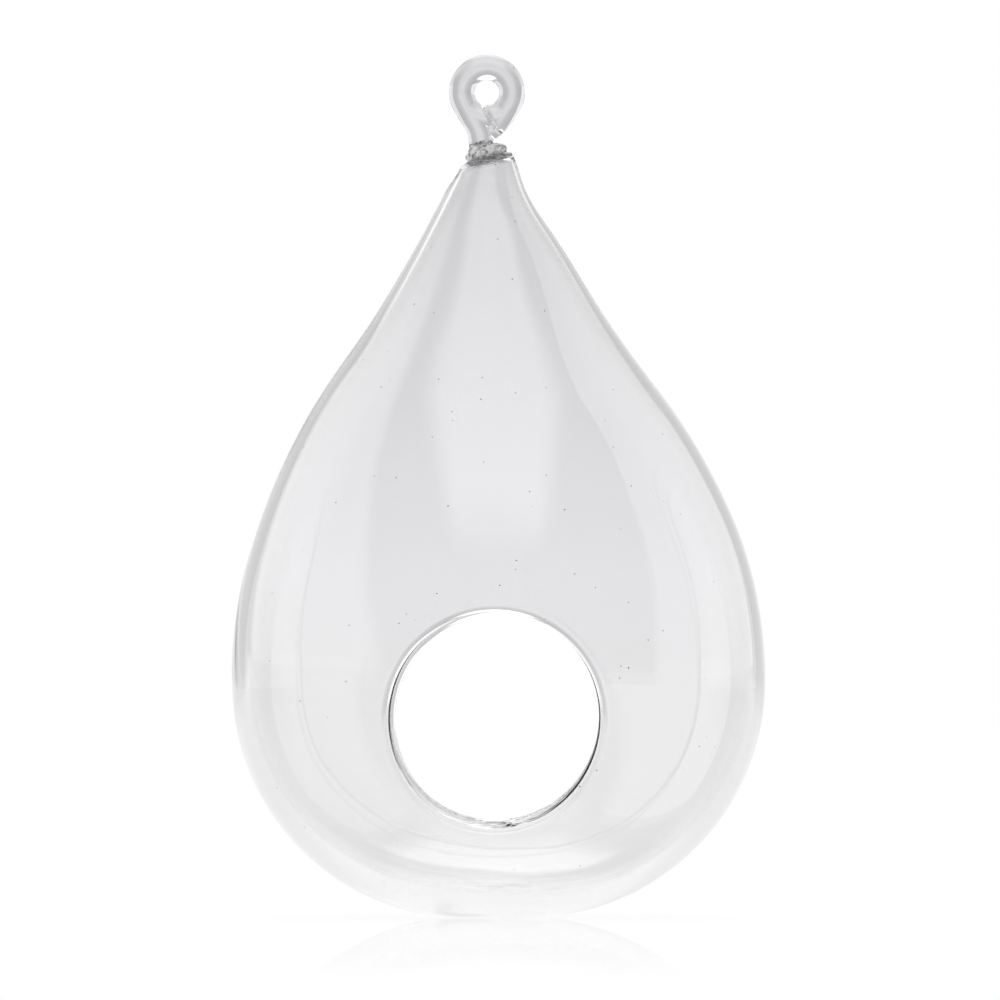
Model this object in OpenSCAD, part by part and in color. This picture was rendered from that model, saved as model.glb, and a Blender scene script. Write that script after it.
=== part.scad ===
// Hanging glass ball vase: a closed drop of clear blown glass with a round opening low in
// its front and back, a rounded bead of glass round each opening, a small flat to stand on
// and a solid glass eye fused to the top of the neck.
// The origin is the centre of the flat, +Z is up and the front opening faces -Y.

/* [Drop] */
// Widest diameter of the drop, mm
belly_d = 100; // [88:1:112]
// Height of the widest level above the flat, mm
belly_z = 44.4; // [42:0.2:50]
// Radius of the arc that rounds the underside, mm
under_r = 44.6; // [42:0.2:50]
// Radius of the arc of the shoulder, mm
shoulder_r = 87; // [70:1:110]
// Radius of the hollow curve that runs up into the neck, mm
hollow_r = 290; // [150:5:500]
// Diameter of the neck where the eye is fused on, mm
neck_d = 10; // [8:0.2:14]
// Height of the neck's top above the flat, mm
neck_z = 141.8; // [132:0.2:152]
// Lean of the drop to the left, degrees
lean = 1.3; // [0:0.1:3]

/* [Glass thickness] */
// Wall at the widest level, mm
wall = 2.7; // [2.2:0.1:3]
// Wall where the shoulder runs into the neck, mm
neck_wall = 1.6; // [1.2:0.1:2]
// Glass at the middle of the underside, mm
base_wall = 3.8; // [3:0.1:4.6]
// Solid glass above the top of the hollow, mm
crown_wall = 1.2; // [1:0.1:4]

/* [Openings] */
// Clear diameter of the front opening inside its bead, mm
front_d = 38.2; // [28:0.2:42]
// Height of the front opening's centre above the flat, mm
front_z = 37.8; // [36:0.2:44]
// Shift of the front opening's centre to the right of the middle, mm
front_side = -0.8; // [-2:0.1:2]
// Clear diameter of the back opening inside its bead, mm
back_d = 40; // [28:0.2:42]
// Height of the back opening's centre above the flat, mm
back_z = 37; // [36:0.2:44]
// Shift of the back opening's centre to the right, seen from the front, mm
back_side = 0.1; // [-2:0.1:2]
// Thickness of the rounded bead round each opening, mm
bead_d = 3.4; // [3.2:0.1:4.2]

/* [Hanging eye] */
// Diameter of the eye's hole, mm
eye_d = 4.7; // [4:0.1:6]
// Length of the straight stretch in the throat of the hole, mm
eye_land = 1.6; // [1:0.1:2.4]
// Thickness of the glass rod, mm
rod_d = 4.8; // [4:0.1:5.6]
// Height of the eye's centre above the neck's top, mm
eye_rise = 13.1; // [12.4:0.1:15]
// Shift of the eye's centre to the right of the neck's middle, mm
eye_side = 0.5; // [-1:0.1:1]
// Shift of the rod's stem to the right of the neck's middle, mm
stem_side = -0.8; // [-1.2:0.1:0]
// Thickness of the rod's end, mm
tail_d = 4.2; // [3.4:0.1:4.8]
// Shift of the rod's end to the right of the neck's middle, mm
tail_side = 2.8; // [2.4:0.1:3.4]
// Height of the middle of the rod's end above the foot, mm
tail_rise = 1.3; // [1:0.1:2.4]
// Angle below the ring's right where the rod leaves the ring for its end, degrees
tail_angle = 60; // [45:1:75]
// Diameter of the rough foot that joins the rod to the neck, mm
foot_d = 9.4; // [8:0.1:10.5]
// Thickness of the foot, mm
foot_h = 3; // [2:0.1:4]
// Slope of the joint, higher at its right, degrees
joint_tilt = 13; // [0:1:18]

/* [Hidden] */
$fn = 144;

belly_r = belly_d / 2;
neck_r = neck_d / 2;
rod_r = rod_d / 2;
tail_r = tail_d / 2;
bead_r = bead_d / 2;
foot_r = foot_d / 2;

// A length beyond the whole part, for the blocks and the drill that cut it.
beyond = 3 * belly_d;

// Facets round the section of a bead, the rod and the foot's edge.
section_facets = 48;

neck_point = [neck_r, neck_z];

// Middle of an arc of the outline that starts at the widest level.
function level_centre(edge, arc) = [edge - arc, belly_z];

// Middle of the hollow arc, which touches the shoulder arc and passes through the neck point.
function hollow_centre(edge, shoulder, hollow, point) =
    let (
        from = level_centre(edge, shoulder),
        span = point - from,
        far = norm(span),
        reach = shoulder + hollow,
        along = (reach * reach - hollow * hollow + far * far) / (2 * far),
        aside = sqrt(reach * reach - along * along),
        ahead = span / far
    )
    from + along * ahead + aside * [ahead[1], -ahead[0]];

outer_shoulder = level_centre(belly_r, shoulder_r);
outer_hollow = hollow_centre(belly_r, shoulder_r, hollow_r, neck_point);
turn = (outer_hollow - outer_shoulder) / (shoulder_r + hollow_r);
turn_angle = atan2(turn[1], turn[0]);

// The inner shoulder arc thins the wall from the widest level to the turn into the hollow.
inner_belly_r = belly_r - wall;
inner_under_r = belly_z - base_wall;
inner_shoulder_r = shoulder_r + (wall * turn[0] - neck_wall) / (1 - turn[0]);
inner_shoulder = level_centre(inner_belly_r, inner_shoulder_r);
inner_turn = inner_shoulder + inner_shoulder_r * turn;
inner_hollow_r = hollow_r + neck_wall;
inner_hollow = inner_turn + inner_hollow_r * turn;

// The hollow closes in a round tip that touches its wall and leaves the crown above it.
tip_top = neck_z - crown_wall;
tip_reach = inner_hollow_r + tip_top;
tip_z = (tip_reach * tip_reach - inner_hollow * inner_hollow)
    / (2 * (tip_reach - inner_hollow[1]));
tip_r = tip_top - tip_z;

// Distance from the axis to a hollow arc at a level.
function hollow_edge(centre, arc, level) =
    centre[0] - sqrt(arc * arc - (level - centre[1]) * (level - centre[1]));
function arc_angle(centre, point) = atan2(point[1] - centre[1], point[0] - centre[0]);

// Radius of the outer surface at a level between the underside and the turn.
function arc_edge(edge, arc, level) =
    edge - arc + sqrt(arc * arc - (level - belly_z) * (level - belly_z));
function drop_edge(level) = arc_edge(belly_r, level > belly_z ? shoulder_r : under_r, level);
function cavity_edge(level) =
    arc_edge(inner_belly_r, level > belly_z ? inner_shoulder_r : inner_under_r, level);
function wall_middle(level) = (drop_edge(level) + cavity_edge(level)) / 2;

// Each opening: which way it faces, its clear diameter, its sideways shift and its level.
openings = [[-1, front_d, front_side, front_z], [1, back_d, back_side, back_z]];

// A bead lies on the middle of the wall at its top, its bottom and its two sides. Its plane
// tilts by the wall's slope and stands that far from the axis.
function path_r(opening) = opening[1] / 2 + bead_r;
function middle_above(opening) = wall_middle(opening[3] + path_r(opening));
function middle_below(opening) = wall_middle(opening[3] - path_r(opening));
function bead_tilt(opening) =
    atan((middle_above(opening) - middle_below(opening)) / (2 * path_r(opening)));
function bead_y(opening) =
    let (aside = sqrt(pow(wall_middle(opening[3]), 2) - pow(path_r(opening), 2)))
    (middle_above(opening) + middle_below(opening) + 2 * aside) / 4;

// The hole's throat is straight for eye_land and round in front of it and behind it.
ring_r = eye_d / 2 + sqrt(rod_r * rod_r - eye_land * eye_land / 4);
ring_mid = [eye_side, eye_rise];
tail_top = ring_mid + ring_r * [cos(tail_angle), -sin(tail_angle)];
tail_tip = [tail_side, foot_h + tail_rise];

// How many straight steps follow each arc of the outlines.
under_steps = 24;
shoulder_steps = 14;
hollow_steps = 9;
tip_steps = 6;

// Points on an arc from one angle to another, with both ends.
function arc_points(middle, arc, from, to, steps) = [
    for (i = [0:steps])
        let (angle = from + (to - from) * i / steps)
        middle + arc * [cos(angle), sin(angle)]
];

// The underside from the axis to the widest level. Its arc starts at its lowest point, or at
// the axis where the arc is wider than the drop.
function underside(middle, arc) =
    let (start = middle[0] > 0 ? -90 : -acos(-middle[0] / arc))
    concat(middle[0] > 0 ? [[0, middle[1] - arc]] : [],
        arc_points(middle, arc, start, 0, under_steps));

// Half outline of the drop: underside arc, shoulder arc, then the hollow arc to the neck.
module drop_outline() {
    neck_top = neck_z + foot_h;
    top_edge = hollow_edge(outer_hollow, hollow_r, neck_top);
    polygon(concat(
        underside(level_centre(belly_r, under_r), under_r),
        arc_points(outer_shoulder, shoulder_r, 0, turn_angle, shoulder_steps),
        arc_points(outer_hollow, hollow_r, turn_angle - 180,
            arc_angle(outer_hollow, [top_edge, neck_top]), hollow_steps),
        [[0, neck_top]]
    ));
}

// Half outline of the hollow inside, which ends in the round tip.
module cavity_outline() {
    polygon(concat(
        underside(level_centre(inner_belly_r, inner_under_r), inner_under_r),
        arc_points(inner_shoulder, inner_shoulder_r, 0, turn_angle, shoulder_steps),
        arc_points(inner_hollow, inner_hollow_r, turn_angle - 180,
            arc_angle(inner_hollow, [0, tip_z]), hollow_steps),
        arc_points([0, tip_z], tip_r, arc_angle([0, tip_z], inner_hollow), 90, tip_steps)
    ));
}

// Leans its children with the drop, about the middle of the widest level.
module leaning() {
    translate([0, 0, belly_z]) rotate([0, -lean, 0]) translate([0, 0, -belly_z]) children();
}

// Puts its children on the neck's top, upright on the sloping joint or square to it.
module on_neck() {
    leaning() translate([0, 0, neck_z]) children();
}

module above_joint() {
    rotate([0, -joint_tilt, 0]) translate([-beyond / 2, -beyond / 2, 0]) cube(beyond);
}

// Puts its children in an opening, square to its plane.
module in_opening(opening) {
    facing = opening[0];
    translate([opening[2], facing * bead_y(opening), opening[3]])
        rotate([facing * (90 - bead_tilt(opening)), 0, 0])
            children();
}

module bead(opening) {
    in_opening(opening) rotate_extrude() translate([path_r(opening), 0])
        circle(bead_r, $fn = section_facets);
}

module vase_body() {
    color([0.88, 0.9, 0.92, 0.35]) {
        difference() {
            leaning() rotate_extrude() difference() {
                drop_outline();
                cavity_outline();
            }
            translate([-beyond / 2, -beyond / 2, -beyond]) cube(beyond);
            on_neck() above_joint();
            for (opening = openings)
                in_opening(opening) cylinder(h = belly_r, r = path_r(opening), center = true);
        }
        for (opening = openings) bead(opening);
    }
}

// The rough foot is a thick disc with a rounded edge that lies on the sloping joint.
module foot() {
    rotate([0, -joint_tilt, 0]) rotate_extrude() {
        square([foot_r - foot_h / 2, foot_h]);
        translate([foot_r - foot_h / 2, foot_h / 2]) circle(foot_h / 2, $fn = section_facets);
    }
}

// Puts its children at a point to the right of the neck's middle and above the joint.
module at_height(point) {
    translate([point[0], 0, point[1]]) children();
}

// The rod rises from the foot, curls round into a ring and ends against its own stem.
module curled_rod() {
    stem_top = eye_rise - ring_r;
    difference() {
        union() {
            at_height(ring_mid) rotate([90, 0, 0]) rotate_extrude()
                translate([ring_r, 0]) circle(rod_r, $fn = section_facets);
            at_height([stem_side, 0]) cylinder(h = stem_top, r = rod_r);
            at_height([stem_side, stem_top]) sphere(rod_r);
            tail();
        }
        at_height(ring_mid) rotate([90, 0, 0]) cylinder(h = beyond, r = eye_d / 2, center = true);
    }
}

// The end of the rod comes down from the ring and lies against the stem.
module tail() {
    run = tail_top - tail_tip;
    at_height(tail_tip) {
        sphere(tail_r);
        rotate([0, atan2(run[0], run[1]), 0]) cylinder(h = norm(run), r = tail_r);
    }
}

module hanging_loop() {
    color([0.8, 0.82, 0.84, 0.6]) on_neck() intersection() {
        union() {
            foot();
            curled_rod();
        }
        above_joint();
    }
}

vase_body();
hanging_loop();
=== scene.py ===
import math

import bmesh
import bpy
from mathutils import Matrix, Quaternion, Vector, noise


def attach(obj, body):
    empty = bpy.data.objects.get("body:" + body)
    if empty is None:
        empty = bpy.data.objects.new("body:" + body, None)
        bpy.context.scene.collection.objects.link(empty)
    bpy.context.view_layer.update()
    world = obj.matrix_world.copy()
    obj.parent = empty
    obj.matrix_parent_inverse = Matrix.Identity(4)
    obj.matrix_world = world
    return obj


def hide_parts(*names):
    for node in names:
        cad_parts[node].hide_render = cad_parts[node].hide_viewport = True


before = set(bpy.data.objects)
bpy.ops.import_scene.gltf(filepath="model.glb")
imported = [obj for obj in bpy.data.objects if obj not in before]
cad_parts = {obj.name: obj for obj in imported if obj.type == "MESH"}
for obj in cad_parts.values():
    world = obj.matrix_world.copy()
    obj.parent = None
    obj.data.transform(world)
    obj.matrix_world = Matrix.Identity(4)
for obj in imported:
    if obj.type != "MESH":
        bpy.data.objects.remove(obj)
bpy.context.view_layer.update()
MM = 0.001
JOINT_SLOPE = math.radians(13)
# How many rows of points follow each bead, and how many of them follow it in full.
BLEND_ROWS = 15
EVEN_ROWS = 7
BEAD_STEPS = 14
BOUNCES = 24
# Tones of the tent's light and of the board's painted glow, far off and near, from sideways (0) to
# straight back (1).
# The far board is white towards the side boxes, so hardly any horizon shows.
TENT_TONES = ((0.0, 0.3), (0.3, 0.7), (0.84, 0.65), (0.94, 0.7), (0.978, 0.84), (0.994, 1.0))
BOARD_TONES = (
    (0.0, 1.0), (0.76, 1.0), (0.84, 0.67), (0.94, 0.73), (0.978, 0.87), (0.994, 1.0)
)
NEAR_TONES = ((0.0, 1.0), (0.45, 0.86), (0.75, 0.86), (0.9, 1.0))
# Place, aim, width and height, roll in degrees, brightness, the share of the width and of the
# height that fades out at each edge, and how bright the two ends of the width are.
SOFT_BOXES = {
    "front_box": ((0, -0.6, 1.1), (0, 0, -1), (1.35, 2.2), 0, 1.3, (0.2, 0.4), (1, 1)),
    "back_box": ((0, 0.66, 0.95), (0, -0.66, -0.95), (0.9, 1.0), 0, 1.3, (0.2, 0.2), (1, 1)),
    "left_box": ((-1.2, 0.51, 0.42), (1, 0, 0), (2.2, 2.6), 34, 0.78, (0.1, 0.02), (0.7, 1)),
    "right_box": ((1.2, 0.86, 0.72), (-1, 0, 0), (2.2, 2.8), -14, 0.68, (0.02, 0.02), (1, 0.6)),
}
CAMERA_PLACE = Vector((0.0002, -2.2, 0.045))
CAMERA_AIM = Vector((0.0002, 0, 0.0781))
# Metres that the picture shows across at the vase, and the camera's sensor in mm.
SEEN_WIDTH = 0.1873
SENSOR_WIDTH = 36
WHITE = (1, 1, 1, 1)

bl_info = {
    "name": "Hanging glass ball vase",
    "version": (1, 0, 0),
    "blender": (4, 5, 0),
    "location": "3D View > Sidebar > Glass vase",
    "description": "Models a blown glass drop with two beaded openings and a fused glass eye",
    "category": "Object",
}


def linear(hex_colour):
    """An sRGB hex colour as linear red, green and blue."""
    values = [int(hex_colour[i:i + 2], 16) / 255 for i in (1, 3, 5)]
    return tuple(v / 12.92 if v <= 0.04045 else ((v + 0.055) / 1.055) ** 2.4 for v in values)


def length_setting(name, description, millimetres):
    return bpy.props.FloatProperty(
        name=name, description=description, default=millimetres * MM, unit="LENGTH", precision=5
    )


def angle_setting(name, description, degrees):
    return bpy.props.FloatProperty(
        name=name, description=description, default=math.radians(degrees), subtype="ANGLE"
    )


def colour_setting(name, description, hex_colour):
    return bpy.props.FloatVectorProperty(
        name=name, description=description, default=linear(hex_colour), subtype="COLOR", min=0, max=1
    )


class VaseSizes(bpy.types.PropertyGroup):
    """Sizes of the blown drop and of the eye on its neck."""

    belly_width: length_setting("Belly width", "Widest diameter of the drop", 100)
    belly_height: length_setting("Belly height", "Height of the widest level", 44.4)
    under_arc: length_setting("Underside arc", "Radius that rounds the underside", 44.6)
    shoulder_arc: length_setting("Shoulder arc", "Radius of the shoulder", 87)
    hollow_arc: length_setting("Hollow arc", "Radius of the hollow curve below the neck", 290)
    neck_width: length_setting("Neck width", "Diameter where the eye is fused on", 10)
    neck_height: length_setting("Neck height", "Height of the neck's top", 141.8)
    neck_rounding: length_setting("Neck rounding", "Radius that closes the neck under the eye", 1.1)
    lean: angle_setting("Lean", "Lean of the neck to the left", 1.3)
    base_wall: length_setting("Base thickness", "Glass thickness at the underside", 3.8)
    wall: length_setting("Wall", "Glass thickness at the widest level", 2.7)
    neck_wall: length_setting("Neck wall", "Glass thickness at the neck", 1.05)
    crown: length_setting("Crown", "Solid glass above the hollow in the neck", 1)
    front_width: length_setting("Front opening", "Clear diameter inside the front bead", 38.2)
    back_width: length_setting("Back opening", "Clear diameter inside the back bead", 40)
    front_height: length_setting("Front opening height", "Height of the front opening's centre", 37.8)
    front_side: length_setting("Front opening shift", "Shift of the front opening to the right", -0.8)
    back_height: length_setting("Back opening height", "Height of the back opening's centre", 37)
    back_side: length_setting("Back opening shift", "Shift of the back opening to the right", 0.1)
    rod_width: length_setting("Rod", "Thickness of the rod of the eye", 4.8)
    eye_width: length_setting("Eye", "Clear diameter of the eye", 4.7)
    eye_rise: length_setting("Eye height", "Height of the eye's centre above the neck's top", 13)


class VaseColours(bpy.types.PropertyGroup):
    """Colours of the glass and of the stage."""

    glass: colour_setting("Glass", "Tint of the clear glass at the belly", "#F3F3F4")
    base_glass: colour_setting("Base glass", "Tint of the glass at the foot", "#F4F4F4")
    neck_glass: colour_setting("Neck glass", "Smokier tint of the glass at the neck and eye", "#E6E6E7")
    rod_glass: colour_setting("Rod glass", "Smoky tint of the rod of the eye", "#DADADC")
    joint: colour_setting("Joint", "Pale chips of the rough fused joint", "#F0F0F1")
    speck: colour_setting("Specks", "Dust, seeds and the joint's dark chips", "#4A4B4E")
    floor: colour_setting("Floor", "Pale floor", "#F2F2F2")


def deselect_all():
    if bpy.context.object and bpy.context.object.mode != "OBJECT":
        bpy.ops.object.mode_set(mode="OBJECT")
    bpy.ops.object.select_all(action="DESELECT")


def select_only(pieces, active):
    """Selects some objects and makes one of them the active object."""
    deselect_all()
    for piece in pieces:
        piece.select_set(True)
    bpy.context.view_layer.objects.active = active


def smooth_step(t):
    """0 up to 0, 1 from 1 on and a soft step between."""
    t = min(max(t, 0.0), 1.0)
    return t * t * (3 - 2 * t)


def hump(value, middle, width):
    """1 at the middle, falling softly to 0 on both sides."""
    return math.exp(-(((value - middle) / width) ** 2))


class Outline:
    """Half outline of a turned skin, of lines and arcs, read by the length along it."""

    def __init__(self):
        self.parts = []
        self.total = 0.0

    def line(self, start, end, outward):
        self.parts.append((self.total, None, Vector(start), Vector(end), Vector(outward)))
        self.total += (Vector(end) - Vector(start)).length

    def arc(self, middle, radius, first, last, outward=1):
        self.parts.append((self.total, radius, Vector(middle), (first, last), outward))
        self.total += radius * abs(last - first)

    def at(self, travel):
        """Point (radius, height) and outward normal after some length along the outline."""
        travel = min(max(travel, 0.0), self.total)
        begin, radius, place, limits, outward = [p for p in self.parts if p[0] <= travel][-1]
        run = travel - begin
        if radius is None:
            return place + (limits - place).normalized() * run, outward
        angle = limits[0] + math.copysign(run / radius, limits[1] - limits[0])
        ray = Vector((math.cos(angle), math.sin(angle)))
        return place + radius * ray, ray * outward


class DropForm:
    """The outer and inner skin of the drop, turned about the Z axis before the lean."""

    def __init__(self, s):
        self.s = s
        edge = s.belly_width / 2
        level = s.belly_height
        shoulder = Vector((edge - s.shoulder_arc, level))
        span = Vector((s.neck_width / 2, s.neck_height)) - shoulder
        far = span.length
        reach = s.shoulder_arc + s.hollow_arc
        along = (reach**2 - s.hollow_arc**2 + far**2) / (2 * far)
        ahead = span / far
        aside = math.sqrt(reach**2 - along**2)
        hollow = shoulder + ahead * along + aside * Vector((ahead.y, -ahead.x))
        turn = math.atan2(hollow.y - shoulder.y, hollow.x - shoulder.x)
        top = math.asin((hollow.y - s.neck_height) / s.hollow_arc)
        flat = edge - s.under_arc
        self.outer = Outline()
        self.outer.line((0, level - s.under_arc), (flat, level - s.under_arc), (0, -1))
        self.outer.arc((flat, level), s.under_arc, -math.pi / 2, 0)
        self.outer.arc(shoulder, s.shoulder_arc, 0, turn)
        self.outer.arc(hollow, s.hollow_arc, turn + math.pi, math.pi + top, -1)
        self.neck_travel = self.outer.total
        neck, normal = self.outer.at(self.neck_travel)
        rounding = neck - normal * s.neck_rounding
        self.outer.arc(rounding, s.neck_rounding, math.atan2(normal.y, normal.x), math.pi / 2)
        self.outer.line(
            (rounding.x, rounding.y + s.neck_rounding), (0, rounding.y + s.neck_rounding), (0, 1)
        )
        self.belly_travel = flat + s.under_arc * math.pi / 2

        slope = math.cos(math.atan2(normal.y, normal.x))
        below_crown = 0.6 * MM
        self.hollow_end = self.neck_travel - (s.crown + below_crown) / slope
        self.squeeze_from = self.belly_travel + 0.55 * (self.neck_travel - self.belly_travel)

    def thickness(self, height):
        """Wall at a height: a smooth curve through the base, belly and neck walls."""
        s = self.s
        base, belly, neck = 0.0, s.belly_height, s.neck_height
        return (
            s.base_wall * (height - belly) * (height - neck) / ((base - belly) * (base - neck))
            + s.wall * (height - base) * (height - neck) / ((belly - base) * (belly - neck))
            + s.neck_wall * (height - base) * (height - belly) / ((neck - base) * (neck - belly))
        )

    def skin_inside(self, travel):
        """Point of the inner skin one wall behind the outer one, and the outward normal."""
        point, normal = self.outer.at(travel)
        return point - normal * self.thickness(max(point.y, 0)), normal

    def inner_at(self, travel):
        """Point of the inner skin that lies across from a point of the outer outline."""
        if travel <= self.squeeze_from:
            return self.skin_inside(travel)[0]
        share = (travel - self.squeeze_from) / (self.outer.total - self.squeeze_from)
        cap = 6 * MM
        cap_rise = 1.5 * MM
        wall = self.hollow_end - self.squeeze_from
        run = share * (wall + cap)
        if run <= wall:
            return self.skin_inside(self.squeeze_from + run)[0]
        angle = (run - wall) / cap * math.pi / 2
        last = self.skin_inside(self.hollow_end)[0]
        edge = last.x * math.sqrt(max(math.cos(angle), 0.0))
        return Vector((edge, last.y + cap_rise * math.sqrt(math.sin(angle))))

    def travel_at(self, height):
        """Length along the outline to a height on the underside or on the shoulder."""
        rise = height - self.s.belly_height
        if rise < 0:
            return self.belly_travel + self.s.under_arc * math.asin(max(rise / self.s.under_arc, -1))
        return self.belly_travel + self.s.shoulder_arc * math.asin(rise / self.s.shoulder_arc)

    def radius_at(self, height):
        return self.outer.at(self.travel_at(height))[0].x

    def spread(self, angle, equator):
        """Length along the outline for a ball's polar angle, denser at the base and neck."""
        half = math.pi / 2
        pace = 90 * MM
        base, belly, neck = 0.66 * pace, 0.85 * pace, 0.6 * pace
        if angle < half:
            t, low, high, first, last = angle / half, 0.0, equator, base, belly
        else:
            t, low, high, first, last = angle / half - 1, equator, self.outer.total, belly, neck
        return (
            (2 * t**3 - 3 * t**2 + 1) * low
            + (t**3 - 2 * t**2 + t) * first
            + (3 * t**2 - 2 * t**3) * high
            + (t**3 - t**2) * last
        )


class Opening:
    """One opening: its centre seen from the front, its side and the circle its bead follows."""

    def __init__(self, form, facing, width, side, height):
        s = form.s
        lean = Matrix.Rotation(-s.lean, 2)
        centre = lean @ Vector((side, height - s.belly_height))
        self.facing = facing
        self.side = centre.x
        self.height = centre.y + s.belly_height
        self.form = form
        self.clear = width / 2

    def path(self, angle):
        """Radius of the circle that the middle of the rounded edge follows."""
        level = self.height + self.clear * math.sin(angle)
        return self.clear + self.form.thickness(level) / 2

    def polar(self, point):
        """Distance and angle of a point from the opening's centre, seen from the front."""
        across = point.x - self.side
        up = point.z - self.height
        return math.hypot(across, up), math.atan2(up, across)


def raw_ball(name):
    """A ball of even quads with a round hole in its front and one in its back."""
    deselect_all()
    bpy.ops.mesh.primitive_cube_add(size=2)
    ball = bpy.context.object
    ball.name = name
    bpy.ops.object.mode_set(mode="EDIT")
    bpy.ops.mesh.subdivide(number_cuts=3)
    bpy.ops.mesh.select_all(action="DESELECT")
    bpy.ops.mesh.select_mode(type="FACE")
    mesh = bmesh.from_edit_mesh(ball.data)
    for face in mesh.faces:
        middle = face.calc_center_median()
        face.select_set(abs(middle.y) > 0.9 and abs(middle.x) < 0.5 and abs(middle.z) < 0.5)
    bmesh.update_edit_mesh(ball.data)
    bpy.ops.mesh.delete(type="FACE")
    bpy.ops.mesh.select_all(action="SELECT")
    bpy.ops.transform.tosphere(value=1)
    bpy.ops.object.mode_set(mode="OBJECT")
    modifier = ball.modifiers.new("fine", "SUBSURF")
    modifier.levels = 4
    modifier.render_levels = 4
    bpy.ops.object.modifier_apply(modifier=modifier.name)
    return ball


def edge_points(mesh):
    """The points on the open edges of a mesh."""
    count = {}
    for polygon in mesh.polygons:
        for key in polygon.edge_keys:
            count[key] = count.get(key, 0) + 1
    return {point for key, uses in count.items() if uses == 1 for point in key}


def rows_from(mesh, start, count):
    """Numbers the rows of points that lie round some points, up to a count."""
    around = {}
    for polygon in mesh.polygons:
        for point in polygon.vertices:
            around.setdefault(point, []).append(polygon)
    rows = {point: 0 for point in start}
    edge = list(start)
    for row in range(1, count + 1):
        near = {p for point in edge for face in around[point] for p in face.vertices}
        edge = sorted(near - rows.keys())
        rows.update((point, row) for point in edge)
    return rows


class Wall:
    """Middle point, direction across and half thickness of the glass at each point."""

    def __init__(self, middle, across, half):
        self.middle = middle
        self.across = across
        self.half = half


def place_on_drop(form, openings, ball):
    """Lays the ball's points on the drop, with rows that close in on the two beads."""
    rim = edge_points(ball.data)
    equator = form.travel_at((openings[0].height + openings[1].height) / 2)
    spots = []
    for vertex in ball.data.vertices:
        ray = vertex.co.normalized()
        polar = math.acos(max(-1.0, min(1.0, -ray.z)))
        travel = form.spread(polar, equator)
        turn = math.atan2(ray.y, ray.x)
        point = form.outer.at(travel)[0]
        place = Vector((point.x * math.cos(turn), point.x * math.sin(turn), point.y))
        spots.append([travel, turn, place, None])
    for opening in openings:
        own = [index for index in rim if spots[index][2].y * opening.facing > 0]
        for index, row in rows_from(ball.data, own, BLEND_ROWS).items():
            spot = spots[index]
            distance, angle = opening.polar(wall_at(form, spot).middle)
            # The rows widen away from the bead and lie closer together below the opening.
            even = (0.3 * row + 0.06 * row * row) * (1 + 0.45 * min(0.0, math.sin(angle))) * MM
            path = opening.path(angle)
            raw = distance - path
            share = smooth_step((row - EVEN_ROWS) / (BLEND_ROWS - EVEN_ROWS))
            away = even + (raw - even) * share
            ray = Vector((math.cos(angle), math.sin(angle)))
            wanted = Vector((opening.side, opening.height)) + (path + away) * ray
            spot[3] = (away, opening, angle)
            # The edge runs on the middle of the wall, so the point is shifted until its middle
            # lies on the wanted circle.
            skin = wanted.copy()
            for _ in range(4):
                radius = form.radius_at(skin.y)
                depth = math.sqrt(radius**2 - skin.x**2) * opening.facing
                spot[0] = form.travel_at(skin.y)
                spot[1] = math.atan2(depth, skin.x)
                middle = wall_at(form, spot).middle
                skin += wanted - middle.xz
    return spots, rim


def hand_blown(place, outside):
    """The unevenness that blowing by hand leaves: soft swells and ripples in the base."""
    seed = Vector((3.1, 7.7, 1.9)) if outside else Vector((11.3, 2.5, 8.1))
    wide = noise.noise(place / (38 * MM) + seed)
    fine = noise.noise(place / (13 * MM) + seed * 2)
    swell = 0.13 * wide + 0.008 * fine
    base = 1 - smooth_step((place.z - 5 * MM) / (9 * MM))
    # The ripples lie flat: they are much longer than they are high.
    tall = Vector((place.x / 3, place.y / 3, place.z * 1.6))
    ripple = 0.05 * noise.noise(tall / (2.4 * MM) + seed) * base
    return (swell + (0.25 * swell if outside else ripple)) * MM


def side_swell(place, radius):
    """How far the real drop bulges to the left and right of the turned one."""
    # Each hump is given by its middle height and its reach, all in mm.
    height = place.z / MM
    right = 0.5 * (1 + place.x / max(radius, 1e-9))
    low = 0.25 * (1 - smooth_step((height - 20) / 25)) * smooth_step(height / 6)
    to_left = (
        low
        + 0.95 * hump(height, 101, 9)
        + 0.3 * hump(height, 120, 14)
        - 0.3 * hump(height, 75, 10)
    )
    to_right = (
        -0.65 * hump(height, 84, 14)
        - 0.45 * hump(height, 110, 14)
        - 0.95 * hump(height, 134, 6)
    )
    return (to_right * right + to_left * (1 - right)) * MM


def wall_at(form, spot):
    """The glass at one spot of the drop, with all its unevenness but before the lean."""
    travel, turn, _, near = spot
    out, _ = form.outer.at(travel)
    inside = form.inner_at(travel)
    aim = Vector((math.cos(turn), math.sin(turn)))
    # The wall is a tenth thicker on the left and a tenth thinner on the right.
    thick = 1 - 0.1 * aim.x
    outer = Vector((out.x * aim.x, out.x * aim.y, out.y))
    inner = Vector((inside.x * aim.x, inside.x * aim.y, inside.y))
    inner = outer + (inner - outer) * thick
    push = Vector((aim.x, aim.y, 0))
    swell = side_swell(outer, out.x)
    # The unevenness calms down towards the drop's axis and its beads.
    calm = min(1.0, out.x / (20 * MM))
    if near:
        calm *= 0.2 + 0.8 * smooth_step(near[0] / (14 * MM))
    outer += push * (swell + hand_blown(outer, True) * calm)
    inner += push * (swell + hand_blown(inner, False) * calm)
    # The top of the neck slopes with the joint, more and more from 136 mm up.
    for skin in (outer, inner):
        skin.z += math.tan(JOINT_SLOPE) * skin.x * smooth_step((skin.z / MM - 136) / 6)
    across = (outer - inner).normalized()
    return Wall((outer + inner) / 2, across, (outer - inner).length / 2)


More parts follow.
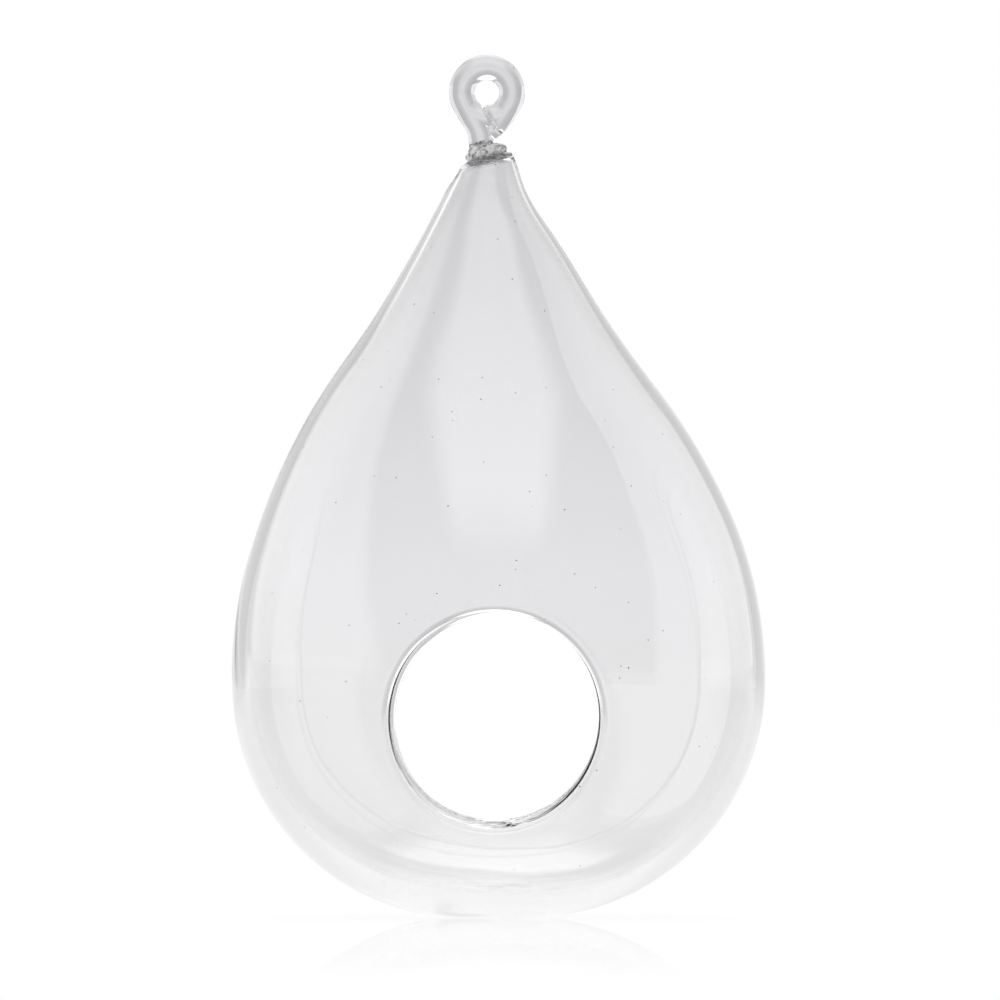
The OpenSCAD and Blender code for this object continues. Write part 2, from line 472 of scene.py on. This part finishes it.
def lean_and_rest(form, place):
    """Leans a point with the drop and keeps it on or above the flat it stands on."""
    pivot = Vector((0, 0, form.s.belly_height))
    place = Matrix.Rotation(-form.s.lean, 3, "Y") @ (place - pivot) + pivot
    soft = 0.25 * MM
    if place.z < 6 * soft:
        place.z = soft * math.log1p(math.exp(place.z / soft))
    return place


def bead_rays(openings, spots, rim, walls):
    """For each point of the two rims, the direction in which its bead bulges."""
    rays = {}
    for opening in openings:
        ring = sorted((spots[i][3][2], i) for i in rim if spots[i][3] and spots[i][3][1] is opening)
        order = [i for _, i in ring]
        for at, index in enumerate(order):
            before = walls[order[at - 1]].middle
            after = walls[order[(at + 1) % len(order)]].middle
            inward = walls[index].across.cross(after - before).normalized()
            centre = Vector((opening.side, walls[index].middle.y, opening.height))
            if inward.dot(centre - walls[index].middle) < 0:
                inward = -inward
            rays[index] = inward
    return rays


def extrude_beads(form, drop, walls, rays):
    """Carries the open edges of the outer skin round the beads, in edit mode."""
    bpy.ops.object.mode_set(mode="EDIT")
    bpy.ops.mesh.select_mode(type="EDGE")
    bpy.ops.mesh.select_all(action="DESELECT")
    mesh = bmesh.from_edit_mesh(drop.data)
    for edge in mesh.edges:
        edge.select_set(edge.is_boundary)
    bmesh.update_edit_mesh(drop.data)
    for step in range(1, BEAD_STEPS + 1):
        bpy.ops.mesh.extrude_edges_move()
        mesh = bmesh.from_edit_mesh(drop.data)
        layer = mesh.verts.layers.int["source"]
        angle = math.pi * step / BEAD_STEPS
        for vertex in mesh.verts:
            if vertex.select:
                wall = walls[vertex[layer]]
                ray = wall.across * math.cos(angle) + rays[vertex[layer]] * math.sin(angle)
                vertex.co = lean_and_rest(form, wall.middle + ray * wall.half)
        bmesh.update_edit_mesh(drop.data)
    bpy.ops.object.mode_set(mode="OBJECT")


def make_drop(s):
    """The two skins of the drop, joined round both openings by rounded beads."""
    form = DropForm(s)
    openings = [
        Opening(form, -1, s.front_width, s.front_side, s.front_height),
        Opening(form, 1, s.back_width, s.back_side, s.back_height),
    ]
    drop = raw_ball("blown_drop")
    spots, rim = place_on_drop(form, openings, drop)
    walls = [wall_at(form, spot) for spot in spots]

    select_only([drop], drop)
    bpy.ops.object.duplicate()
    hollow = bpy.context.object
    for wall, outer, inner in zip(walls, drop.data.vertices, hollow.data.vertices):
        outer.co = lean_and_rest(form, wall.middle + wall.across * wall.half)
        inner.co = lean_and_rest(form, wall.middle - wall.across * wall.half)
    bpy.ops.object.mode_set(mode="EDIT")
    bpy.ops.mesh.select_all(action="SELECT")
    bpy.ops.mesh.flip_normals()
    bpy.ops.object.mode_set(mode="OBJECT")

    source = drop.data.attributes.new("source", "INT", "POINT")
    source.data.foreach_set("value", range(len(spots)))
    select_only([drop], drop)
    extrude_beads(form, drop, walls, bead_rays(openings, spots, rim, walls))
    select_only([drop, hollow], drop)
    bpy.ops.object.join()
    bpy.ops.object.mode_set(mode="EDIT")
    bpy.ops.mesh.select_all(action="SELECT")
    bpy.ops.mesh.remove_doubles(threshold=0.02 * MM)
    bpy.ops.object.mode_set(mode="OBJECT")
    drop.data.attributes.remove(drop.data.attributes["source"])
    bpy.ops.object.shade_smooth()
    return drop


def neck_top(s):
    """Middle of the neck's top, where the eye is fused on, seen from the front."""
    rise = s.neck_height - s.belly_height
    return Vector((-math.sin(s.lean) * rise, s.belly_height + math.cos(s.lean) * rise))


def joint_plane(s, place):
    """Height of a point above the sloping joint on top of the neck."""
    up = Vector((-math.sin(JOINT_SLOPE), math.cos(JOINT_SLOPE)))
    return (place.xz - neck_top(s)).dot(up)


def mark_joint(piece, s):
    """Stores how far the rough grey of the fused joint reaches at each point."""
    # It runs from 1.5 mm below the joint's plane to about 2.9 mm above, with a patchy top edge.
    marks = piece.data.attributes.new("joint", "FLOAT", "POINT")
    for vertex, mark in zip(piece.data.vertices, marks.data):
        above = joint_plane(s, vertex.co) / MM
        patchy = 0.7 * noise.noise(vertex.co / (1.6 * MM))
        below = smooth_step((above + 1.5) / 0.5)
        mark.value = below * (1 - smooth_step((above - 2.9 - patchy) / 0.6))


def rod_curve(name, points):
    """A rod through points (x, z, radius) in the plane of the eye, with filled ends."""
    bpy.ops.curve.primitive_nurbs_path_add()
    rod = bpy.context.object
    rod.name = name
    rod.data.splines.clear()
    spline = rod.data.splines.new("NURBS")
    spline.points.add(len(points) - 1)
    for point, (across, height, radius) in zip(spline.points, points):
        point.co = (across, 0, height, 1)
        point.radius = radius / MM
    spline.order_u = 4
    spline.resolution_u = 12
    spline.use_endpoint_u = True
    rod.data.dimensions = "3D"
    rod.data.bevel_depth = MM
    rod.data.bevel_resolution = 12
    rod.data.use_fill_caps = True
    bpy.ops.object.convert(target="MESH")
    return bpy.context.object


def ball_at(centre, sizes, tilt=0.0):
    """A squeezed ball that rounds the end of a rod or swells a joint."""
    bpy.ops.mesh.primitive_uv_sphere_add(segments=48, ring_count=24, radius=1)
    ball = bpy.context.object
    place = Matrix.Translation(centre) @ Matrix.Rotation(tilt, 4, "Y") @ Matrix.Diagonal((*sizes, 1))
    ball.data.transform(place)
    return ball


def ring_at(centre, radius, thickness):
    """A full ring that closes the eye where the rod touches its own stem."""
    bpy.ops.mesh.primitive_torus_add(
        major_radius=1, minor_radius=thickness / radius, major_segments=96, minor_segments=40
    )
    ring = bpy.context.object
    size = Matrix.Diagonal((radius, radius, radius, 1))
    ring.data.transform(Matrix.Translation(centre) @ Matrix.Rotation(math.pi / 2, 4, "X") @ size)
    return ring


def groove_at(place, start, end):
    """1 in the groove between the rod's end and its stem, seen from the front, 0 away from it."""
    run = end - start
    share = (place.xz - start).dot(run) / run.length_squared
    nearest = start + run * min(max(share, 0.0), 1.0)
    return hump((place.xz - nearest).length / MM, 0, 0.35)


def eye_points(foot, centre, ring, rod):
    """Points of the rod, up its stem, round the eye and back down against the stem."""
    # Across and up from the joint in mm, and the thickness there as a share of the rod's.
    stem = [
        (-0.95, 0.6, 1.12), (-1.1, 2.6, 1.0), (-1.3, 4.6, 0.94), (-1.7, 6.2, 0.92), (-3.0, 8.1, 0.95)
    ]
    points = [(foot.x + x * MM, foot.y + z * MM, rod * size) for x, z, size in stem]
    for degrees in range(198, -52, -12):
        angle = math.radians(degrees)
        points.append(
            (centre.x + ring * math.cos(angle), centre.y + ring * math.sin(angle), rod)
        )
    tail = [(2.5, 7.7, 0.95), (1.6, 6.4, 0.86), (1.2, 5.9, 0.8)]
    points += [(foot.x + x * MM, foot.y + z * MM, rod * size) for x, z, size in tail]
    return points


def roughen_eye(eye, s, centre):
    """Gives the foot its rough skin, the rod soft swells and its end a groove to the stem."""
    groove_from = Vector((centre.x - 0.7 * MM, centre.y - 2.4 * MM))
    groove_to = Vector((centre.x + 1.6 * MM, centre.y - 6.9 * MM))
    normals = [vertex.normal.copy() for vertex in eye.data.vertices]
    for vertex, normal in zip(eye.data.vertices, normals):
        above = joint_plane(s, vertex.co) / MM
        rough = smooth_step((4.2 - above) / 1.5)
        coarse = noise.noise(vertex.co / (1.2 * MM))
        fine = noise.noise(vertex.co / (0.5 * MM))
        swell = noise.noise(vertex.co / (4 * MM) + Vector((5, 2, 9)))
        groove = groove_at(vertex.co, groove_from, groove_to)
        vertex.co += normal * (rough * (0.4 * coarse + 0.15 * fine) + 0.1 * swell) * MM
        vertex.co -= normal * 0.7 * groove * MM


def make_eye(s):
    """A rod that rises from a rough foot, curls round the eye and ends against its stem."""
    foot = neck_top(s)
    rod = s.rod_width / 2
    ring = s.eye_width / 2 + rod
    centre = foot + Vector((-0.05 * MM, s.eye_rise - 0.3 * MM))
    points = eye_points(foot, centre, ring, rod)
    tip = points[-1]
    deselect_all()
    pieces = [
        rod_curve("hanging_eye", points),
        ring_at((centre.x, 0, centre.y), ring, 0.97 * rod),
        ball_at((tip[0], 0, tip[1]), (tip[2], tip[2], tip[2])),
        ball_at(
            (foot.x - 0.1 * MM, 0, foot.y + 1.3 * MM),
            (3.95 * MM, 3.95 * MM, 1.6 * MM),
            -JOINT_SLOPE,
        ),
    ]
    eye = pieces[0]
    select_only(pieces, eye)
    bpy.ops.object.join()
    bpy.ops.object.transform_apply(location=True, rotation=True, scale=True)
    remesh = eye.modifiers.new("fuse", "REMESH")
    remesh.mode = "VOXEL"
    remesh.voxel_size = 0.17 * MM
    bpy.ops.object.modifier_apply(modifier=remesh.name)
    soften = eye.modifiers.new("soften", "SMOOTH")
    soften.factor = 0.5
    soften.iterations = 6
    bpy.ops.object.modifier_apply(modifier=soften.name)
    roughen_eye(eye, s, centre)
    bpy.ops.object.shade_smooth()
    mark_joint(eye, s)
    return eye


def add_node(tree, kind, settings=None, links=None):
    """Adds a node, sets its properties and inputs, and links its inputs to outputs."""
    node = tree.nodes.new(kind)
    for key, value in (settings or {}).items():
        if isinstance(key, str) and hasattr(node, key):
            setattr(node, key, value)
        else:
            node.inputs[key].default_value = value
    for key, output in (links or {}).items():
        tree.links.new(output, node.inputs[key])
    return node


def mix_shaders(tree, share, first, second):
    """Output that is the first shader where the share is 0 and the second where it is 1."""
    return add_node(
        tree, "ShaderNodeMixShader", links={0: share, 1: first, 2: second}
    ).outputs[0]


def combine(tree, operation, first, second):
    """Output of an operation on two values, each an output of a node or a number."""
    node = add_node(tree, "ShaderNodeMath", {"operation": operation})
    for slot, value in enumerate((first, second)):
        if isinstance(value, bpy.types.NodeSocket):
            tree.links.new(value, node.inputs[slot])
        else:
            node.inputs[slot].default_value = value
    return node.outputs[0]


def run_between(tree, value, limits, results=(0.0, 1.0), kind="SMOOTHSTEP"):
    """Output that runs from one result to the other while a value passes two limits."""
    settings = {"interpolation_type": kind}
    settings.update(zip((1, 2, 3, 4), (*limits, *results)))
    return add_node(tree, "ShaderNodeMapRange", settings, {0: value}).outputs[0]


def new_material(name):
    """An empty material made of nodes."""
    material = bpy.data.materials.new(name)
    material.use_nodes = True
    material.node_tree.nodes.clear()
    return material


def glass_material(name, colours, top_colour):
    """Clear soda-lime glass, blown and fire-polished: bright, with soft swells and few seeds."""
    material = new_material(name)
    tree = material.node_tree
    place = add_node(tree, "ShaderNodeTexCoord")
    # Swells about 9 mm wide from blowing bend the light a little.
    swell = add_node(
        tree,
        "ShaderNodeTexNoise",
        {"Scale": 1 / (9 * MM), "Detail": 1.0},
        {"Vector": place.outputs["Object"]},
    )
    soft = add_node(
        tree,
        "ShaderNodeBump",
        {"Strength": 1.0, "Distance": 0.004 * MM},
        {"Height": swell.outputs["Fac"]},
    )
    # The glass is tinted a little darker towards the neck.
    parts = add_node(tree, "ShaderNodeSeparateXYZ", links={0: place.outputs["Object"]})
    height = run_between(tree, parts.outputs["Z"], (0.0, 160 * MM), kind="LINEAR")
    tint = add_node(tree, "ShaderNodeValToRGB", links={0: height})
    band = tint.color_ramp
    band.elements.new(0.5)
    steps = ((0.0, colours.base_glass), (0.4, colours.glass), (0.9, top_colour))
    for element, (position, colour) in zip(band.elements, steps):
        element.position = position
        element.color = (*colour, 1)
    glass = add_node(
        tree,
        "ShaderNodeBsdfPrincipled",
        {"Roughness": 0.0, "IOR": 1.5, "Transmission Weight": 1.0},
        {"Base Color": tint.outputs[0], "Normal": soft.outputs["Normal"]},
    )
    # The fused joint is crizzled by heat: chips of grey and black, 0.8 mm wide, hardly clear.
    chips = add_node(
        tree,
        "ShaderNodeTexVoronoi",
        {"feature": "F1", "Scale": 1 / (0.8 * MM), "Randomness": 1.0},
        {"Vector": place.outputs["Object"]},
    )
    grain = add_node(
        tree,
        "ShaderNodeTexNoise",
        {"Scale": 1 / (0.9 * MM), "Detail": 4.0},
        {"Vector": place.outputs["Object"]},
    )
    pits = add_node(
        tree,
        "ShaderNodeBump",
        {"Strength": 1.0, "Distance": 0.1 * MM},
        {"Height": grain.outputs["Fac"]},
    )
    shade = add_node(tree, "ShaderNodeValToRGB", links={0: grain.outputs["Fac"]})
    dark, light = shade.color_ramp.elements
    dark.position, dark.color = 0.32, (*colours.speck, 1)
    light.position, light.color = 0.54, (*colours.joint, 1)
    cloudy = add_node(
        tree,
        "ShaderNodeBsdfPrincipled",
        {"Roughness": 0.35, "IOR": 1.5, "Transmission Weight": 0.1},
        {"Base Color": shade.outputs[0], "Normal": pits.outputs["Normal"]},
    )
    flakes = run_between(tree, chips.outputs["Distance"], (0.1, 0.4), (0.7, 1.0), "LINEAR")
    rough = mix_shaders(tree, flakes, glass.outputs[0], cloudy.outputs[0])
    mark = add_node(tree, "ShaderNodeAttribute", {"attribute_name": "joint"})
    fused = mix_shaders(tree, mark.outputs["Fac"], glass.outputs[0], rough)
    # Seeds and dust are 0.3 mm wide, in some of the 3 mm cells that meet the skin.
    cells = add_node(
        tree,
        "ShaderNodeTexVoronoi",
        {"Scale": 1 / (3 * MM), "Randomness": 1.0},
        {"Vector": place.outputs["Object"]},
    )
    small = combine(tree, "LESS_THAN", cells.outputs["Distance"], 0.045)
    chance = add_node(tree, "ShaderNodeSeparateColor", links={0: cells.outputs["Color"]})
    chosen = combine(tree, "GREATER_THAN", chance.outputs[0], 0.78)
    seeds = combine(tree, "MULTIPLY", small, chosen)
    dust = add_node(
        tree, "ShaderNodeBsdfPrincipled", {"Base Color": (*colours.speck, 1), "Roughness": 0.5}
    )
    whole = mix_shaders(tree, seeds, fused, dust.outputs[0])
    add_node(tree, "ShaderNodeOutputMaterial", links={"Surface": whole})
    return material


def tone_by_heading(tree, toward_back, stops):
    """Grey tones by how far a direction points to the back, from 0 at the sides to 1."""
    ramp = add_node(tree, "ShaderNodeValToRGB", links={0: toward_back})
    band = ramp.color_ramp
    while len(band.elements) < len(stops):
        band.elements.new(0.5)
    for element, (position, level) in zip(band.elements, stops):
        element.position = position
        element.color = (level, level, level, 1)
    return ramp.outputs[0]


def floor_material(colours):
    """A matt white board that keeps the shadow, faintly mirrors what stands on it, and in the glass
    glows with painted light and shade.
    """
    material = new_material("white_board")
    tree = material.node_tree
    matt = add_node(tree, "ShaderNodeBsdfDiffuse", {"Color": (*colours.floor, 1)})
    shaded = add_node(tree, "ShaderNodeBsdfDiffuse", {"Color": (0.15, 0.15, 0.15, 1)})
    glow = add_node(tree, "ShaderNodeEmission", {"Color": WHITE, "Strength": 0.88})
    lit = add_node(tree, "ShaderNodeAddShader", links={0: shaded.outputs[0], 1: glow.outputs[0]})
    white = add_node(tree, "ShaderNodeEmission", {"Color": WHITE, "Strength": 1.0})
    place = add_node(tree, "ShaderNodeTexCoord")
    away = add_node(
        tree, "ShaderNodeVectorMath", {"operation": "LENGTH"}, {0: place.outputs["Object"]}
    )
    # The shadow is kept near the vase; farther off the board is plain white.
    clear = run_between(tree, away.outputs["Value"], (0.1, 0.3))
    seen = mix_shaders(tree, clear, lit.outputs[0], white.outputs[0])
    # The board mirrors only what is seen along it. The mirror image is clearest at the vase's
    # foot and is gone 0.5 m in front of it.
    sheen = add_node(tree, "ShaderNodeBsdfGlossy", {"Color": WHITE, "Roughness": 0.0})
    parts = add_node(tree, "ShaderNodeSeparateXYZ", links={0: place.outputs["Object"]})
    fade = run_between(tree, parts.outputs["Y"], (-0.5, 0.0))
    along = add_node(tree, "ShaderNodeFresnel", {"IOR": 1.015})
    mirrored = combine(tree, "MULTIPLY", fade, along.outputs[0])
    polished = mix_shaders(tree, mirrored, seen, sheen.outputs[0])
    # Seen in the glass, the board glows with painted light and shade that change with heading, near the
    # vase and far off.
    heading = add_node(
        tree, "ShaderNodeVectorMath", {"operation": "NORMALIZE"}, {0: place.outputs["Object"]}
    )
    headed = add_node(tree, "ShaderNodeSeparateXYZ", links={0: heading.outputs[0]})
    near_painted_glow, far_painted_glow = [
        add_node(
            tree,
            "ShaderNodeEmission",
            links={"Color": tone_by_heading(tree, headed.outputs["Y"], tones)},
        ).outputs[0]
        for tones in (NEAR_TONES, BOARD_TONES)
    ]
    far = run_between(tree, away.outputs["Value"], (0.2, 1.2), (0.25, 1.0))
    painted_glow = mix_shaders(tree, far, near_painted_glow, far_painted_glow)
    rays = add_node(tree, "ShaderNodeLightPath")
    by_glass = combine(
        tree, "MAXIMUM", rays.outputs["Is Transmission Ray"], rays.outputs["Is Glossy Ray"]
    )
    unseen = mix_shaders(tree, by_glass, matt.outputs[0], painted_glow)
    board = mix_shaders(tree, rays.outputs["Is Camera Ray"], unseen, polished)
    add_node(tree, "ShaderNodeOutputMaterial", links={"Surface": board})
    return material


def light_tent():
    """White behind the vase and dim beyond the soft boxes."""
    world = bpy.data.worlds.new("light_tent")
    bpy.context.scene.world = world
    world.use_nodes = True
    tree = world.node_tree
    tree.nodes.clear()
    aim = add_node(tree, "ShaderNodeTexCoord")
    parts = add_node(tree, "ShaderNodeSeparateXYZ", links={0: aim.outputs["Generated"]})
    tone = tone_by_heading(tree, parts.outputs["Y"], TENT_TONES)
    rays = add_node(tree, "ShaderNodeLightPath")
    # Seen through the glass, no part of the tent is darker than this.
    darkest = 0.6
    lowest = combine(tree, "MULTIPLY", rays.outputs["Is Transmission Ray"], darkest)
    lifted = combine(tree, "MAXIMUM", tone, lowest)
    tent = add_node(tree, "ShaderNodeBackground", {"Strength": 1.0}, {"Color": lifted})
    plain = add_node(tree, "ShaderNodeBackground", {"Color": WHITE, "Strength": 1.0})
    both = mix_shaders(
        tree, rays.outputs["Is Camera Ray"], tent.outputs[0], plain.outputs[0]
    )
    add_node(tree, "ShaderNodeOutputWorld", links={"Surface": both})


def soft_box(name, place, aim, size, roll, brightness, fading, ends):
    """A panel of light with soft edges that dims towards one end, as white as the backdrop at 1."""
    bpy.ops.object.light_add(type="AREA", location=place)
    lamp = bpy.context.object
    lamp.name = name
    lamp.data.shape = "RECTANGLE"
    lamp.data.size = size[0]
    lamp.data.size_y = size[1]
    lamp.data.energy = brightness * math.pi * size[0] * size[1]
    turn = Vector(aim).to_track_quat("-Z", "Y") @ Quaternion((0, 0, 1), math.radians(roll))
    lamp.rotation_euler = turn.to_euler()
    lamp.visible_camera = False
    lamp.data.use_nodes = True
    tree = lamp.data.node_tree
    tree.nodes.clear()
    surface = add_node(tree, "ShaderNodeNewGeometry")
    parts = add_node(tree, "ShaderNodeSeparateXYZ", links={0: surface.outputs["Parametric"]})
    fades = []
    for axis, share in zip("XY", fading):
        edge = combine(tree, "PINGPONG", parts.outputs[axis], 0.5)
        fades.append(run_between(tree, edge, (0.0, share)))
    level = combine(tree, "MULTIPLY", *fades)
    along = run_between(tree, parts.outputs["X"], (0.15, 0.85), ends, "LINEAR")
    dimmed = combine(tree, "MULTIPLY", level, along)
    glow = add_node(tree, "ShaderNodeEmission", links={"Strength": dimmed})
    add_node(tree, "ShaderNodeOutputLight", links={"Surface": glow.outputs[0]})


class VASE_OT_model_drop(bpy.types.Operator):
    """Model the blown drop with its two beaded openings."""

    bl_idname = "vase.model_drop"
    bl_label = "Blown drop"

    def execute(self, context):
        drop = make_drop(context.scene.vase_sizes)
        colours = context.scene.vase_colours
        glass = glass_material("blown_soda_glass", colours, colours.neck_glass)
        drop.data.materials.append(glass)
        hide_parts("vase_body")
        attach(drop, "root")
        return {"FINISHED"}


class VASE_OT_model_eye(bpy.types.Operator):
    """Model the glass rod that is curled into the hanging eye."""

    bl_idname = "vase.model_eye"
    bl_label = "Hanging eye"

    def execute(self, context):
        eye = make_eye(context.scene.vase_sizes)
        colours = context.scene.vase_colours
        glass = glass_material("flame_worked_rod", colours, colours.rod_glass)
        eye.data.materials.append(glass)
        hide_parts("hanging_loop")
        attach(eye, "root")
        return {"FINISHED"}


class VASE_OT_set_stage(bpy.types.Operator):
    """Set up the white floor, the light tent and the camera."""

    bl_idname = "vase.set_stage"
    bl_label = "Stage"

    def execute(self, context):
        deselect_all()
        bpy.ops.mesh.primitive_plane_add(size=8)
        floor = context.object
        floor.name = "floor"
        bpy.ops.object.mode_set(mode="EDIT")
        bpy.ops.mesh.subdivide(number_cuts=3)
        # The board ends at the side boxes.
        bpy.ops.transform.resize(value=(0.3, 1, 1))
        bpy.ops.object.mode_set(mode="OBJECT")
        floor.data.materials.append(floor_material(context.scene.vase_colours))
        light_tent()
        for name, settings in SOFT_BOXES.items():
            soft_box(name, *settings)
        bpy.ops.object.camera_add(location=CAMERA_PLACE)
        camera = context.object
        aim = CAMERA_AIM - camera.location
        camera.rotation_euler = aim.to_track_quat("-Z", "Y").to_euler()
        camera.data.sensor_width = SENSOR_WIDTH
        camera.data.lens = SENSOR_WIDTH * aim.length / SEEN_WIDTH
        camera.data.clip_end = 50
        context.scene.camera = camera
        context.scene.view_settings.view_transform = "Standard"
        # Light runs a long way inside the walls before it leaves them.
        context.scene.cycles.max_bounces = BOUNCES
        context.scene.cycles.glossy_bounces = BOUNCES
        context.scene.cycles.transmission_bounces = BOUNCES
        return {"FINISHED"}


class VASE_PT_panel(bpy.types.Panel):
    """Sizes, colours and steps of the glass vase."""

    bl_idname = "VASE_PT_panel"
    bl_label = "Glass vase"
    bl_space_type = "VIEW_3D"
    bl_region_type = "UI"
    bl_category = "Glass vase"

    def draw(self, context):
        for group in (context.scene.vase_sizes, context.scene.vase_colours):
            for name in group.__annotations__:
                self.layout.prop(group, name)
        for operator in OPERATORS:
            self.layout.operator(operator.bl_idname)


OPERATORS = (VASE_OT_model_drop, VASE_OT_model_eye, VASE_OT_set_stage)
CLASSES = (VaseSizes, VaseColours, *OPERATORS, VASE_PT_panel)


def register():
    for kind in CLASSES:
        bpy.utils.register_class(kind)
    bpy.types.Scene.vase_sizes = bpy.props.PointerProperty(type=VaseSizes)
    bpy.types.Scene.vase_colours = bpy.props.PointerProperty(type=VaseColours)


def unregister():
    del bpy.types.Scene.vase_colours
    del bpy.types.Scene.vase_sizes
    for kind in reversed(CLASSES):
        bpy.utils.unregister_class(kind)


def main():
    register()
    bpy.ops.vase.model_drop()
    bpy.ops.vase.model_eye()
    bpy.ops.vase.set_stage()


if __name__ == "__main__":
    main()
